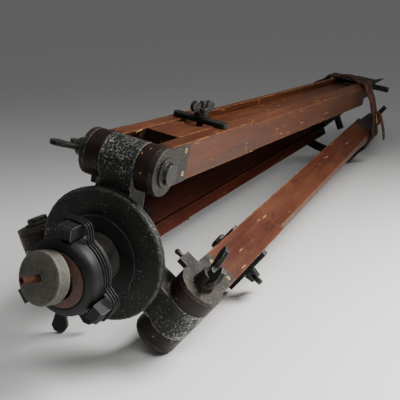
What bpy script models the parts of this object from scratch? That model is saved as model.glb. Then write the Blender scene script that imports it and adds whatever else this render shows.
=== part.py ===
"""Wooden surveyor tripod with three extension legs, folded and strapped, lying on its side.

The head frame has its origin at the centre of the disc's front face, +Z out of the disc and +Y towards
leg 1. Each leg frame has its origin on the leg's hinge axis, +X along the hinge towards the bolt head,
+Y down the leg and +Z away from the bundle. The root empty lays the whole head frame on the ground, so
the world has +Z up, the legs run along +Y and the head faces -Y.
"""

import math

import bmesh
import bpy
from mathutils import Matrix, Vector

# Driving dimensions, in metres and degrees.
DISC_RADIUS = 0.075
DISC_THICKNESS = 0.010
HINGE_RADIUS = 0.0978
HINGE_DEPTH = 0.0360
BARREL_RADIUS = 0.0262
BARREL_HALF_WIDTH = 0.0213
STILE_THICKNESS = 0.0172
STILE_DEPTH = 0.0440
STILE_END = 0.862
LEG_LEAN_IN = 2.7
LEG_SWING = -0.57
LEG_COUNT = 3
CLAMP_STATION = 0.163
LOWER_LEG_END = 0.872
FOOT_TIP = 1.190
CORE_END = 0.984
BALL_CENTRE = 0.060
BALL_RADIUS = 0.022
PLATE_LEAN = 15.6
PLATE_LEAN_HEADING = 126.0
EAR_HEADINGS = (88.0, 333.0, 220.0)
STRAP_STATION = 0.856
CROSS_STATION = 0.838
CROSS_HEIGHT = -0.0172
TANG_THICKNESS = 0.0022
TANG_END = 0.0590
LOWER_HALF_DEPTH = 0.0125
TREAD_REACH = 0.0520
CLAMP_BAR = 0.0060
CLAMP_PLATE = 0.0030
WING_TURNS = (82.0, 70.0, 20.0)
KNOB_TURNS = (70.0, 60.0, 0.0)
GROUND_ROLL = 12.86
GROUND_PITCH = -1.66
GROUND_PLACE = (-0.00056, -0.55320, 0.11871)
GAP = 0.0003

# Sizes that follow from the driving dimensions.
HALF_DEPTH = STILE_DEPTH / 2
CHEEK_INNER = BARREL_HALF_WIDTH + 0.0005
CHEEK_OUTER = CHEEK_INNER + STILE_THICKNESS
PLATE_INNER = CHEEK_OUTER + GAP
PLATE_OUTER = PLATE_INNER + 0.0062
KNUCKLE_RADIUS = BARREL_RADIUS
CORE_START_SIZE = (0.0400, 0.0240)
CORE_END_SIZE = (0.0330, 0.0220)


def clear_scene():
    for old in list(bpy.data.objects):
        bpy.data.objects.remove(old, do_unlink=True)


def new_collection(name):
    made = bpy.data.collections.new(name)
    bpy.context.scene.collection.children.link(made)
    return made


def finish_material(name, colour, roughness, metallic):
    made = bpy.data.materials.new(name)
    made.use_nodes = True
    shader = made.node_tree.nodes["Principled BSDF"]
    shader.inputs["Base Color"].default_value = (*colour, 1.0)
    shader.inputs["Roughness"].default_value = roughness
    shader.inputs["Metallic"].default_value = metallic
    return made


def add_piece(name, mesh, finish, parent, where=Matrix(), cutter=False):
    """An object for the mesh, placed in its parent's frame."""
    made = bpy.data.objects.new(name, mesh)
    (CUTTERS if cutter else PARTS).objects.link(made)
    if finish:
        mesh.materials.append(finish)
    made.parent = parent
    made.matrix_basis = where
    if cutter:
        made.hide_render = True
        made.display_type = "WIRE"
    return made


def add_empty(name, parent, where):
    made = bpy.data.objects.new(name, None)
    PARTS.objects.link(made)
    made.parent = parent
    made.matrix_basis = where
    return made


def box_mesh(low, high):
    """A box between two corners."""
    low, high = Vector(low), Vector(high)
    work = bmesh.new()
    bmesh.ops.create_cube(work, size=1.0)
    bmesh.ops.scale(work, vec=high - low, verts=work.verts)
    bmesh.ops.translate(work, vec=(low + high) / 2, verts=work.verts)
    return mesh_from(work, smooth=False)


def round_mesh(start, end, radius, end_radius=None, segments=24):
    """A cylinder or cone from one point to another."""
    start, end = Vector(start), Vector(end)
    along = end - start
    work = bmesh.new()
    bmesh.ops.create_cone(
        work,
        cap_ends=True,
        segments=segments,
        radius1=radius,
        radius2=radius if end_radius is None else end_radius,
        depth=along.length,
    )
    turn = along.to_track_quat("Z", "Y").to_matrix().to_4x4()
    bmesh.ops.transform(work, matrix=Matrix.Translation((start + end) / 2) @ turn, verts=work.verts)
    return mesh_from(work)


def sphere_mesh(centre, radius, segments=24):
    work = bmesh.new()
    bmesh.ops.create_uvsphere(work, u_segments=segments, v_segments=segments // 2, radius=radius)
    bmesh.ops.translate(work, vec=centre, verts=work.verts)
    return mesh_from(work)


def mesh_from(work, smooth=True):
    made = bpy.data.meshes.new("shape")
    work.to_mesh(made)
    work.free()
    if smooth:
        made.shade_smooth()
        made.set_sharp_from_angle(angle=math.radians(35))
    return made


def turned_mesh(profile, steps=28):
    """A solid turned about Z: the profile runs down the outer side and back up any bore, in (radius, z)."""
    work = bpy.data.meshes.new("profile")
    points = [(radius, 0.0, z) for radius, z in profile]
    closed = all(radius > 0 for radius, _ in profile)
    edges = [(i, i + 1) for i in range(len(points) - 1)]
    if closed:
        edges.append((len(points) - 1, 0))
    work.from_pydata(points, edges, [])
    holder = bpy.data.objects.new("profile", work)
    bpy.context.scene.collection.objects.link(holder)
    screw = holder.modifiers.new("turn", "SCREW")
    screw.steps = steps
    screw.render_steps = steps
    screw.use_merge_vertices = True
    screw.merge_threshold = 0.00001
    screw.use_normal_calculate = False
    made = evaluated_copy(holder)
    made.shade_smooth()
    made.set_sharp_from_angle(angle=math.radians(35))
    return made


def outline_mesh(points, thickness):
    """A flat outline in XY made a plate, with Z from 0 to the thickness."""
    curve = bpy.data.curves.new("outline", "CURVE")
    curve.dimensions = "2D"
    curve.fill_mode = "BOTH"
    curve.extrude = thickness / 2
    spline = curve.splines.new("POLY")
    spline.points.add(len(points) - 1)
    for point, (x, y) in zip(spline.points, points):
        point.co = (x, y, 0.0, 1.0)
    spline.use_cyclic_u = True
    holder = bpy.data.objects.new("outline", curve)
    bpy.context.scene.collection.objects.link(holder)
    made = evaluated_copy(holder)
    made.transform(Matrix.Translation((0.0, 0.0, thickness / 2)))
    return made


def evaluated_copy(holder):
    """The object's evaluated mesh with its doubles welded; the object itself is removed."""
    bpy.context.view_layer.update()
    graph = bpy.context.evaluated_depsgraph_get()
    made = bpy.data.meshes.new_from_object(holder.evaluated_get(graph))
    bpy.data.objects.remove(holder, do_unlink=True)
    work = bmesh.new()
    work.from_mesh(made)
    bmesh.ops.remove_doubles(work, verts=work.verts, dist=0.00001)
    work.to_mesh(made)
    work.free()
    return facing_out(made)


def facing_out(mesh):
    """Turns a closed mesh's faces outward, whichever way its outline ran."""
    work = bmesh.new()
    work.from_mesh(mesh)
    bmesh.ops.recalc_face_normals(work, faces=work.faces)
    work.to_mesh(mesh)
    work.free()
    return mesh


def combine(piece, mesh, operation, where=Matrix()):
    """Joins another solid to the piece, or cuts it away, in the piece's own frame."""
    other = add_piece(piece.name + "_" + operation.lower(), mesh, None, piece, where, cutter=True)
    step = piece.modifiers.new(operation.lower(), "BOOLEAN")
    step.operation = operation
    step.solver = "EXACT"
    step.object = other


def cut(piece, mesh, where=Matrix()):
    combine(piece, mesh, "DIFFERENCE", where)


def join(piece, mesh, where=Matrix()):
    combine(piece, mesh, "UNION", where)


def arc(centre, radius, start, end, count):
    """Points on an arc, angles in degrees."""
    turn = (end - start) / (count - 1)
    angles = [math.radians(start + turn * i) for i in range(count)]
    return [(centre[0] + radius * math.cos(a), centre[1] + radius * math.sin(a)) for a in angles]


def around(angle, radius, z=0.0):
    """A point at an angle about the head's axis."""
    return Vector((radius * math.cos(angle), radius * math.sin(angle), z))


# Flat plates of the leg lie in its YZ plane: outline X becomes Y, outline Y becomes Z, thickness X.
LEG_SIDE = Matrix(((0, 0, 1, 0), (1, 0, 0, 0), (0, 1, 0, 0), (0, 0, 0, 1)))


def side_plate(outline, thickness, inner_x):
    """A plate parallel to the leg's side, from inner_x towards +X."""
    made = outline_mesh(outline, thickness)
    made.transform(Matrix.Translation((inner_x, 0, 0)) @ LEG_SIDE)
    return made


def mirrored(mesh):
    """The same solid on the other side of the leg's middle plane."""
    made = mesh.copy()
    made.transform(Matrix.Diagonal((-1.0, 1.0, 1.0, 1.0)))
    return facing_out(made)


def head_casting(parent):
    """Disc, hub and three arms with hinge barrels, one iron casting."""
    edge = 0.0018
    hub = 0.046
    bore = 0.0145
    back = -0.048
    body = turned_mesh(
        [
            (bore, 0.0),
            (DISC_RADIUS - edge, 0.0),
            (DISC_RADIUS, -edge),
            (DISC_RADIUS - 0.001, -DISC_THICKNESS),
            (hub, -DISC_THICKNESS - 0.006),
            (hub - 0.010, back),
            (bore, back),
        ],
        steps=40,
    )
    casting = add_piece("head_casting", body, CAST_IRON, parent)
    for number in range(LEG_COUNT):
        angle = leg_angle(number)
        turn = Matrix.Rotation(angle, 4, "Z")
        arm_half = BARREL_HALF_WIDTH - 0.0015
        arm_top = -DISC_THICKNESS + 0.001
        arm = box_mesh((0.030, -arm_half, -0.046), (HINGE_RADIUS - 0.010, arm_half, arm_top - 0.004))
        join(casting, arm, turn)
        centre = around(0.0, HINGE_RADIUS, -HINGE_DEPTH)
        ends = [centre + Vector((0, side * BARREL_HALF_WIDTH, 0)) for side in (-1, 1)]
        join(casting, round_mesh(ends[0], ends[1], BARREL_RADIUS, segments=24), turn)
        bore_ends = [end + Vector((0, 0.004 * side, 0)) for end, side in zip(ends, (-1, 1))]
        cut(casting, round_mesh(bore_ends[0], bore_ends[1], 0.0060, segments=12), turn)
    return casting


def seat_plate(parent):
    """Round steel plate on the disc, with a thin raised edge."""
    bore, radius, rim = 0.0145, 0.0470, 0.0012
    top, face = 0.0062, 0.0048
    profile = [
        (bore, face),
        (radius - rim, face),
        (radius - rim, top),
        (radius, top),
        (radius, GAP),
        (bore, GAP),
    ]
    add_piece("seat_plate", turned_mesh(profile, steps=28), BLACK_STEEL, parent)


def socket_stem(parent):
    """Stem through the disc, with a coned neck that ends in a cup under the ball."""
    foot, neck_top, cup_top = 0.0052, 0.0400, 0.0560
    shaft, thread_end = 0.0140, -0.0660
    profile = [
        (0.0, cup_top),
        (0.0300, cup_top),
        (0.0300, neck_top),
        (0.0230, neck_top - 0.006),
        (0.0230, 0.0160),
        (0.0255, 0.0085),
        (0.0285, foot),
        (shaft, foot),
        (shaft, thread_end),
        (0.0, thread_end),
    ]
    stem = add_piece("socket_stem", turned_mesh(profile, steps=20), GUNMETAL, parent)
    cut(stem, sphere_mesh((0, 0, BALL_CENTRE), BALL_RADIUS + 0.0008, segments=16))


def stem_nut(parent):
    """Six-sided nut that draws the stem down on the disc."""
    top, bottom = -0.0485, -0.0610
    nut = add_piece("stem_nut", round_mesh((0, 0, bottom), (0, 0, top), 0.0250, segments=6), GUNMETAL, parent)
    cut(nut, round_mesh((0, 0, bottom - 0.01), (0, 0, top + 0.01), 0.0144))


def clamp_ring(parent):
    """Ring nut with three ears that bend forward, turned by hand to grip the ball."""
    bore, radius = 0.0304, 0.0415
    back, front, edge = 0.0410, 0.0560, 0.0010
    profile = [(bore, front), (radius - edge, front), (radius, front - edge), (radius, back), (bore, back)]
    ring = add_piece("clamp_ring", turned_mesh(profile, steps=28), GUNMETAL, parent)
    half, inner, outer, tip = 0.0078, 0.0436, 0.0570, 0.0735
    root = 0.0425
    outline = [(radius - 0.006, root), (outer - 0.004, root), (outer, root + 0.006), (outer, tip - 0.002)]
    outline += [(outer - 0.002, tip), (inner + 0.001, tip), (inner, tip - 0.001), (inner, root + 0.008)]
    outline += [(radius - 0.006, root + 0.007)]
    upright = Matrix(((1, 0, 0, 0), (0, 0, -1, 0), (0, 1, 0, 0), (0, 0, 0, 1)))
    for heading in EAR_HEADINGS:
        ear = outline_mesh(outline, 2 * half)
        ear.transform(Matrix.Translation((0, half, 0)) @ upright)
        join(ring, facing_out(ear), Matrix.Rotation(math.radians(heading), 4, "Z"))


def socket_collar(parent):
    """Rounded black collar that closes the socket over the ball."""
    bore, pocket, radius = 0.0228, 0.0304, 0.0418
    back, step, front = 0.0563, 0.0615, 0.0740
    crown = arc((radius - 0.0090, front - 0.0095), 0.0090, 90, 0, 4)
    profile = [(pocket, front - 0.0008), (radius - 0.0098, front - 0.0003)]
    profile += crown[1:]
    profile += [(radius, back), (bore, back), (bore, step), (pocket, step)]
    add_piece("socket_collar", turned_mesh(profile, steps=28), BLACK_STEEL, parent)


def fibre_sleeve(parent):
    """Red-brown fibre ring that lines the mouth of the socket."""
    radius, back, front = 0.0300, 0.0619, 0.0746
    crown, lip = 0.0776, 0.0215
    profile = [(0.0195, crown), (lip, crown), (radius, front), (radius, back)]
    profile += [(0.0231, back), (0.0224, 0.0680)]
    add_piece("fibre_sleeve", turned_mesh(profile, steps=24), FIBRE, parent)


def ball_and_plate(parent):
    """Ball, stud with its centre pin, and the round plate on top, all leaning together."""
    ball = add_piece("ball", sphere_mesh((0, 0, 0), BALL_RADIUS, segments=16), GUNMETAL, parent)
    cut(ball, round_mesh((0, 0, -0.030), (0, 0, 0.030), 0.0083, segments=12))
    cut(ball, round_mesh((0, 0, -0.030), (0, 0, -0.0162), 0.0108, segments=12))
    pin_tip, pin_radius, plate_back, plate_top = 0.0606, 0.0034, 0.0236, 0.0388
    profile = [
        (0.0, pin_tip - 0.003),
        (pin_radius - 0.0012, pin_tip - 0.003),
        (pin_radius - 0.0012, pin_tip),
        (pin_radius, pin_tip),
        (pin_radius, plate_back - GAP),
        (0.0080, plate_back - GAP),
        (0.0080, -0.0165),
        (0.0100, -0.0165),
        (0.0100, -0.0190),
        (0.0, -0.0190),
    ]
    add_piece("stud", turned_mesh(profile, steps=12), RUSTY_STEEL, parent)
    radius, edge = 0.0270, 0.0010
    profile = [
        (pin_radius + GAP, plate_top),
        (radius - edge, plate_top),
        (radius, plate_top - edge),
        (radius, plate_back),
        (pin_radius + GAP, plate_back),
    ]
    add_piece("end_cap", turned_mesh(profile), GREY_METAL, parent)


def hinge_outline(half, length):
    """Rounded end about the hinge, then a straight bar of the given half depth."""
    meet = math.degrees(math.asin(half / KNUCKLE_RADIUS))
    return arc((0, 0), KNUCKLE_RADIUS, meet, 360 - meet, 13) + [(length, -half), (length, half)]


def stile_mesh():
    """The bolt-side rail: bored at the hinge, thinned and chamfered along its outer corner lower down."""
    body = side_plate(hinge_outline(HALF_DEPTH, STILE_END), STILE_THICKNESS, CHEEK_INNER)
    return body


def relief_meshes():
    """What is shaved off a stile: a shallow relief of its side and a chamfer of its outer corner."""
    start, depth, over = 0.247, 0.0016, 0.010
    reach = STILE_END + over
    nose = arc((start + 0.012, 0), HALF_DEPTH + 0.004, 235, 125, 7)
    relief = side_plate(nose + [(reach, 0.040), (reach, -0.040)], over, CHEEK_OUTER - depth)
    face, side = 0.0115, 0.0060
    corner = [(CHEEK_OUTER - face, HALF_DEPTH), (CHEEK_OUTER - 0.0008, HALF_DEPTH - side)]
    corner += [(CHEEK_OUTER + over, HALF_DEPTH - side - 0.004), (CHEEK_OUTER + over, HALF_DEPTH + over)]
    corner += [(CHEEK_OUTER - face, HALF_DEPTH + over)]
    chamfer = outline_mesh(corner, reach - start)
    chamfer.transform(Matrix(((1, 0, 0, 0), (0, 0, 1, start), (0, 1, 0, 0), (0, 0, 0, 1))))
    return relief, facing_out(chamfer)


def stile(name, side, parent):
    body = stile_mesh()
    tools = list(relief_meshes())
    tools.append(round_mesh((0.010, 0, 0), (0.060, 0, 0), 0.0060, segments=12))
    ends = [Vector((x, CROSS_STATION, CROSS_HEIGHT)) for x in (0.010, 0.060)]
    tools.append(round_mesh(ends[0], ends[1], 0.0033, segments=12))
    if side < 0:
        body = mirrored(body)
        tools = [mirrored(tool) for tool in tools]
    rail = add_piece(name, body, WOOD, parent)
    for tool in tools:
        cut(rail, tool)


def hinge_plate(name, side, parent, lug):
    """Forged plate on the stile's end: a thick round knuckle and a thin tang, with a stop lug on one side."""
    body = side_plate(arc((0, 0), KNUCKLE_RADIUS, 0, 342, 20), PLATE_OUTER - PLATE_INNER, PLATE_INNER)
    tang_half = HALF_DEPTH - 0.0008
    tang = side_plate(
        [(0.0, -tang_half), (TANG_END, -tang_half), (TANG_END, tang_half), (0.0, tang_half)],
        TANG_THICKNESS,
        PLATE_INNER,
    )
    tools = [(tang, join)]
    if lug:
        nose = box_mesh((PLATE_INNER, 0.0040, -0.0370), (PLATE_OUTER, 0.0250, -0.0120))
        tools.append((nose, join))
        across, down = PLATE_INNER + 0.003, 0.0145
        tools.append((round_mesh((across, down, -0.0360), (across, down, -0.0430), 0.0026, segments=8), join))
        tools.append((sphere_mesh((across, down, -0.0440), 0.0036, segments=8), join))
    tools.append((round_mesh((0.030, 0, 0), (0.060, 0, 0), 0.0060, segments=12), cut))
    if side < 0:
        body = mirrored(body)
        tools = [(mirrored(tool), action) for tool, action in tools]
    plate = add_piece(name, body, GUNMETAL, parent)
    for tool, action in tools:
        action(plate, tool)


def hinge_bolt(name, parent):
    """Bolt through barrel, stiles and plates: broad washer head, round boss, threaded tail."""
    head = PLATE_OUTER + GAP
    profile = [
        (0.0, head + 0.0075),
        (0.0115, head + 0.0075),
        (0.0122, head + 0.0024),
        (0.0160, head + 0.0020),
        (0.0160, head),
        (0.0055, head),
        (0.0055, -PLATE_OUTER - 0.0230),
        (0.0, -PLATE_OUTER - 0.0230),
    ]
    body = turned_mesh(profile, steps=16)
    body.transform(Matrix.Rotation(math.radians(90), 4, "Y"))
    add_piece(name, body, GUNMETAL, parent)


def wing_plate(hub_radius, reach, spread, lobe, thickness):
    """Flat outline of two wings that rise from a hub: X is across, Y is away from the seat."""
    right = [(hub_radius * 0.5, 0.002), (hub_radius, 0.006)]
    right += arc((spread, reach - lobe), lobe, -60, 150, 6)
    right += [(hub_radius * 0.55, reach * 0.42)]
    left = [(-x, y) for x, y in reversed(right)]
    return outline_mesh(right + left, thickness)


def wing_nut(name, parent, turn):
    """Forged wing nut with a coned hub and two rounded wings; it turns about the hinge bolt."""
    seat, depth, bore = -PLATE_OUTER - GAP, 0.0165, 0.0058
    profile = [(0.0, 0.0), (0.0125, 0.0), (0.0100, -depth), (0.0, -depth)]
    hub = turned_mesh(profile, steps=12)
    facing = Matrix.Rotation(turn, 4, "X") @ Matrix.Rotation(math.radians(90), 4, "Y")
    frame = Matrix.Translation((seat, 0, 0)) @ facing
    nut = add_piece(name, hub, GUNMETAL, parent, frame)
    wings = wing_plate(0.0120, 0.0400, 0.0190, 0.0100, 0.0050)
    wings.transform(Matrix(((1, 0, 0, 0), (0, 0, 1, -0.0025), (0, -1, 0, -0.001), (0, 0, 0, 1))))
    join(nut, facing_out(wings))
    cut(nut, round_mesh((0, 0, 0.005), (0, 0, -0.0240), bore, segments=12))


def spacer_block(name, parent):
    """Hardwood block glued between the stiles ahead of the clamp, with a round notch in its lower end."""
    half, deep = CHEEK_INNER - GAP, HALF_DEPTH - 0.0002
    block = add_piece(name, box_mesh((-half, 0.0700, -deep), (half, 0.1420, deep)), WOOD, parent)
    cut(block, round_mesh((0, 0.1455, -0.030), (0, 0.1455, 0.030), 0.0120, segments=16))


def lower_leg(name, parent):
    """Sliding inner leg: a single bar between the stiles, bored for the clamp bolt."""
    half = CHEEK_INNER - 2 * GAP
    bar = box_mesh((-half, 0.1480, -LOWER_HALF_DEPTH), (half, LOWER_LEG_END, LOWER_HALF_DEPTH))
    leg = add_piece(name, bar, WOOD, parent)
    join(leg, taper_mesh(LOWER_LEG_END - 0.001, CORE_END, CORE_START_SIZE, CORE_END_SIZE))
    cut(leg, round_mesh((0, CLAMP_STATION, -0.030), (0, CLAMP_STATION, 0.030), 0.0044, segments=12))


def taper_mesh(start, end, start_size, end_size):
    """A four-sided taper down the leg between two sections, each (width, depth)."""
    work = bmesh.new()
    bmesh.ops.create_cube(work, size=1.0)
    for vert in work.verts:
        width, depth = start_size if vert.co.y < 0 else end_size
        along = start if vert.co.y < 0 else end
        vert.co = Vector((vert.co.x * width, along, vert.co.z * depth))
    return mesh_from(work, smooth=False)


def foot_iron(name, parent):
    """Black iron foot: a tapered socket over the leg's end with two straps, a cross tread and a spike."""
    start = LOWER_LEG_END + GAP
    tread, shoe_end = 1.010, 1.080
    iron = add_piece(name, taper_mesh(start, tread, (0.049, 0.040), (0.040, 0.032)), BLACK_IRON, parent)
    join(iron, taper_mesh(tread - 0.002, shoe_end, (0.039, 0.031), (0.013, 0.013)))
    join(iron, round_mesh((0, shoe_end - 0.010, 0), (0, FOOT_TIP, 0), 0.0062, 0.0010, segments=10))
    for side in (-1, 1):
        near, far = LOWER_HALF_DEPTH + GAP, LOWER_HALF_DEPTH + 0.0030
        low, high = sorted((side * near, side * far))
        join(iron, box_mesh((-0.0110, 0.8440, low), (0.0110, start + 0.010, high)))
    join(iron, box_mesh((-TREAD_REACH, tread - 0.008, -0.0050), (TREAD_REACH, tread + 0.008, 0.0050)))
    room = 4 * GAP
    first, last = [(width + room, depth + room) for width, depth in (CORE_START_SIZE, CORE_END_SIZE)]
    cut(iron, taper_mesh(LOWER_LEG_END - 0.001, CORE_END + GAP, first, last))


def clamp_bolt(name, parent):
    """Bolt through the sliding leg: round head inside the bundle, thread outside under the knob."""
    inner = -HALF_DEPTH - 0.0004 - CLAMP_PLATE - GAP
    outer = HALF_DEPTH + 0.0004 + CLAMP_BAR
    profile = [
        (0.0, outer + 0.0200),
        (0.0040, outer + 0.0200),
        (0.0040, inner),
        (0.0110, inner),
        (0.0110, inner - 0.0030),
        (0.0085, inner - 0.0050),
        (0.0, inner - 0.0050),
    ]
    where = Matrix.Translation((0, CLAMP_STATION, 0))
    add_piece(name, turned_mesh(profile, steps=10), GUNMETAL, parent, where)


def rounded_bar(half_length, half_width, height, low_z):
    """A flat bar with round ends, lying across the leg."""
    points = arc((half_length - half_width, 0), half_width, -90, 90, 5)
    points += arc((-half_length + half_width, 0), half_width, 90, 270, 5)
    made = outline_mesh(points, height)
    made.transform(Matrix.Translation((0, 0, low_z)))
    return made


def clamp_bar(name, parent):
    """Iron bar across both stiles that the knob presses down."""
    where = Matrix.Translation((0, CLAMP_STATION, 0))
    body = rounded_bar(0.0375, 0.0075, CLAMP_BAR, HALF_DEPTH + 0.0004)
    bar = add_piece(name, body, BLACK_STEEL, parent, where)
    cut(bar, round_mesh((0, 0, 0), (0, 0, 0.050), 0.0043, segments=12))


def clamp_plate(name, parent):
    """Thin plate across the inner edges of the stiles, under the bolt's head."""
    where = Matrix.Translation((0, CLAMP_STATION, 0))
    body = rounded_bar(0.0340, 0.0100, CLAMP_PLATE, -HALF_DEPTH - 0.0004 - CLAMP_PLATE)
    plate = add_piece(name, body, BLACK_STEEL, parent, where)
    cut(plate, round_mesh((0, 0, -0.050), (0, 0, 0), 0.0043, segments=12))


def clamp_knob(name, parent, turn):
    """Wing knob on the clamp bolt."""
    seat = HALF_DEPTH + 0.0004 + CLAMP_BAR + GAP
    profile = [(0.0, 0.0120), (0.0075, 0.0120), (0.0095, 0.0), (0.0, 0.0)]
    frame = Matrix.Translation((0, CLAMP_STATION, seat)) @ Matrix.Rotation(turn, 4, "Z")
    knob = add_piece(name, turned_mesh(profile, steps=10), GUNMETAL, parent, frame)
    wings = wing_plate(0.0090, 0.0200, 0.0115, 0.0072, 0.0060)
    wings.transform(Matrix(((1, 0, 0, 0), (0, 0, 1, -0.0030), (0, 1, 0, 0.0005), (0, 0, 0, 1))))
    join(knob, facing_out(wings))
    cut(knob, round_mesh((0, 0, -0.005), (0, 0, 0.0215), 0.0043, segments=12))


def cross_bolt(name, parent):
    """Pin between the stiles' lower ends that the sliding leg runs over."""
    reach = CHEEK_OUTER - 0.0020
    start, end = (-reach, CROSS_STATION, CROSS_HEIGHT), (reach, CROSS_STATION, CROSS_HEIGHT)
    add_piece(name, round_mesh(start, end, 0.0030, segments=12), GUNMETAL, parent)


def leg_angle(number):
    """Leg 1 points up, leg 2 clockwise of it and leg 3 anticlockwise, seen from the front."""
    return math.radians(90 - number * 360 / LEG_COUNT)


def leg_frame(number):
    """The leg's own frame: X along the hinge to the bolt head, Y down the leg, Z away from the bundle."""
    angle = leg_angle(number)
    outward = around(angle, 1.0)
    hinge = around(angle, HINGE_RADIUS, -HINGE_DEPTH)
    across = Vector((math.sin(angle), -math.cos(angle), 0.0))
    axes = Matrix((across, Vector((0, 0, -1)), outward)).transposed().to_4x4()
    lean = Matrix.Rotation(math.radians(-LEG_LEAN_IN), 4, "X")
    swing = Matrix.Rotation(math.radians(LEG_SWING), 4, "Z")
    return Matrix.Translation(hinge) @ axes @ lean @ swing


def build_leg(number, parent):
    tag = f"_{number + 1}"
    frame = add_empty("leg" + tag, parent, leg_frame(number))
    stile("stile_bolt_side" + tag, 1, frame)
    stile("stile_nut_side" + tag, -1, frame)
    spacer_block("spacer_block" + tag, frame)
    hinge_plate("hinge_plate_bolt_side" + tag, 1, frame, lug=False)
    hinge_plate("hinge_plate_nut_side" + tag, -1, frame, lug=True)
    hinge_bolt("hinge_bolt" + tag, frame)
    wing_nut("wing_nut" + tag, frame, math.radians(WING_TURNS[number]))
    cross_bolt("cross_bolt" + tag, frame)
    lower_leg("lower_leg" + tag, frame)
    foot_iron("foot_iron" + tag, frame)
    clamp_bolt("clamp_bolt" + tag, frame)
    clamp_bar("clamp_bar" + tag, frame)
    clamp_plate("clamp_plate" + tag, frame)
    clamp_knob("clamp_knob" + tag, frame, math.radians(KNOB_TURNS[number]))


def strap_outline(clear):
    """The loop that a strap makes round three leg sections, with round corners."""
    station = STRAP_STATION
    corners = []
    for number in range(LEG_COUNT):
        frame = leg_frame(number)
        for side in (1, -1):
            point = frame @ Vector((side * (CHEEK_OUTER - 0.0055), station, HALF_DEPTH - 0.0050))
            corners.append(Vector((point.x, point.y)))
    centre = sum(corners, Vector((0, 0))) / len(corners)
    corners.sort(key=lambda c: math.atan2(c.y - centre.y, c.x - centre.x))
    points = []
    count = len(corners)
    for index, corner in enumerate(corners):
        before = (corner - corners[index - 1]).normalized()
        after = (corners[(index + 1) % count] - corner).normalized()
        first = math.atan2(-before.x, before.y)
        last = math.atan2(-after.x, after.y)
        while last < first:
            last += 2 * math.pi
        for step in range(4):
            angle = first + (last - first) * step / 3
            points.append((corner.x + clear * math.cos(angle), corner.y + clear * math.sin(angle)))
    return points


def strap(parent):
    """Leather strap round the bundle near the feet, with a brass buckle and the strap's loose tail."""
    inner, thickness, width = 0.0070, 0.0038, 0.0420
    middle = -HINGE_DEPTH - STRAP_STATION
    band = outline_mesh(strap_outline(inner + thickness), width)
    loop = add_piece("strap", band, LEATHER, parent, Matrix.Translation((0, 0, middle - width / 2)))
    opening = outline_mesh(strap_outline(inner), 2 * width)
    cut(loop, opening, Matrix.Translation((0, 0, -width / 2)))
    buckle_frame = strap_side_frame(parent, middle, inner + thickness + GAP)
    buckle = add_piece(
        "strap_buckle", box_mesh((-0.0120, 0.0, -0.0150), (0.0120, 0.0030, 0.0150)), BRASS, buckle_frame
    )
    cut(buckle, box_mesh((-0.0088, -0.010, -0.0118), (0.0088, 0.010, 0.0118)))
    tail_start = 0.0030 + GAP
    tail = box_mesh((-0.0160, tail_start, -0.0085), (0.0460, tail_start + 0.0028, 0.0085))
    add_piece("strap_tail", tail, LEATHER, buckle_frame)


def strap_side_frame(parent, middle, clear):
    """A frame on the strap's run from leg 1 to leg 2: X along the run, Y out of the loop."""
    first = leg_frame(0) @ Vector((CHEEK_OUTER - 0.0055, STRAP_STATION, HALF_DEPTH - 0.0050))
    second = leg_frame(1) @ Vector((0.0055 - CHEEK_OUTER, STRAP_STATION, HALF_DEPTH - 0.0050))
    along = Vector((second.x - first.x, second.y - first.y, 0.0))
    unit = along.normalized()
    out = Vector((-unit.y, unit.x, 0.0))
    place = Vector((first.x, first.y, middle)) + along * 0.72 + out * clear
    axes = Matrix((unit, out, Vector((0, 0, 1)))).transposed().to_4x4()
    return add_empty("buckle_place", parent, Matrix.Translation(place) @ axes)


def lay_down():
    """The root frame: legs along +Y, then rolled and pitched until three points touch the ground."""
    upright = Matrix.Rotation(math.radians(90), 4, "X")
    roll = Matrix.Rotation(math.radians(GROUND_ROLL), 4, "Y")
    pitch = Matrix.Rotation(math.radians(GROUND_PITCH), 4, "X")
    return Matrix.Translation(GROUND_PLACE) @ pitch @ roll @ upright


clear_scene()
PARTS = new_collection("surveyor_tripod")
CUTTERS = new_collection("cutters")
CAST_IRON = finish_material("cast_iron", (0.05, 0.05, 0.045), 0.6, 0.6)
GUNMETAL = finish_material("gunmetal", (0.10, 0.10, 0.10), 0.4, 0.9)
BLACK_STEEL = finish_material("black_steel", (0.02, 0.02, 0.022), 0.45, 0.6)
BLACK_IRON = finish_material("black_iron", (0.03, 0.028, 0.025), 0.6, 0.7)
GREY_METAL = finish_material("grey_metal", (0.30, 0.29, 0.26), 0.7, 0.3)
RUSTY_STEEL = finish_material("rusty_steel", (0.14, 0.06, 0.04), 0.8, 0.4)
WOOD = finish_material("wood", (0.30, 0.10, 0.035), 0.4, 0.0)
FIBRE = finish_material("fibre", (0.16, 0.05, 0.03), 0.6, 0.0)
LEATHER = finish_material("leather", (0.11, 0.055, 0.03), 0.6, 0.0)
BRASS = finish_material("brass", (0.55, 0.40, 0.16), 0.35, 1.0)

root = add_empty("tripod", None, lay_down())
head_casting(root)
seat_plate(root)
socket_stem(root)
stem_nut(root)
clamp_ring(root)
socket_collar(root)
fibre_sleeve(root)
heading = Matrix.Rotation(math.radians(PLATE_LEAN_HEADING), 4, "Z")
lean = Matrix.Rotation(math.radians(PLATE_LEAN), 4, "Y")
plate_turn = heading @ lean @ heading.inverted()
plate_frame = add_empty("plate", root, Matrix.Translation((0, 0, BALL_CENTRE)) @ plate_turn)
ball_and_plate(plate_frame)
for leg_number in range(LEG_COUNT):
    build_leg(leg_number, root)
strap(root)
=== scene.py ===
import math
import random

import bmesh
import bpy
from mathutils import Matrix, Vector, noise


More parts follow.
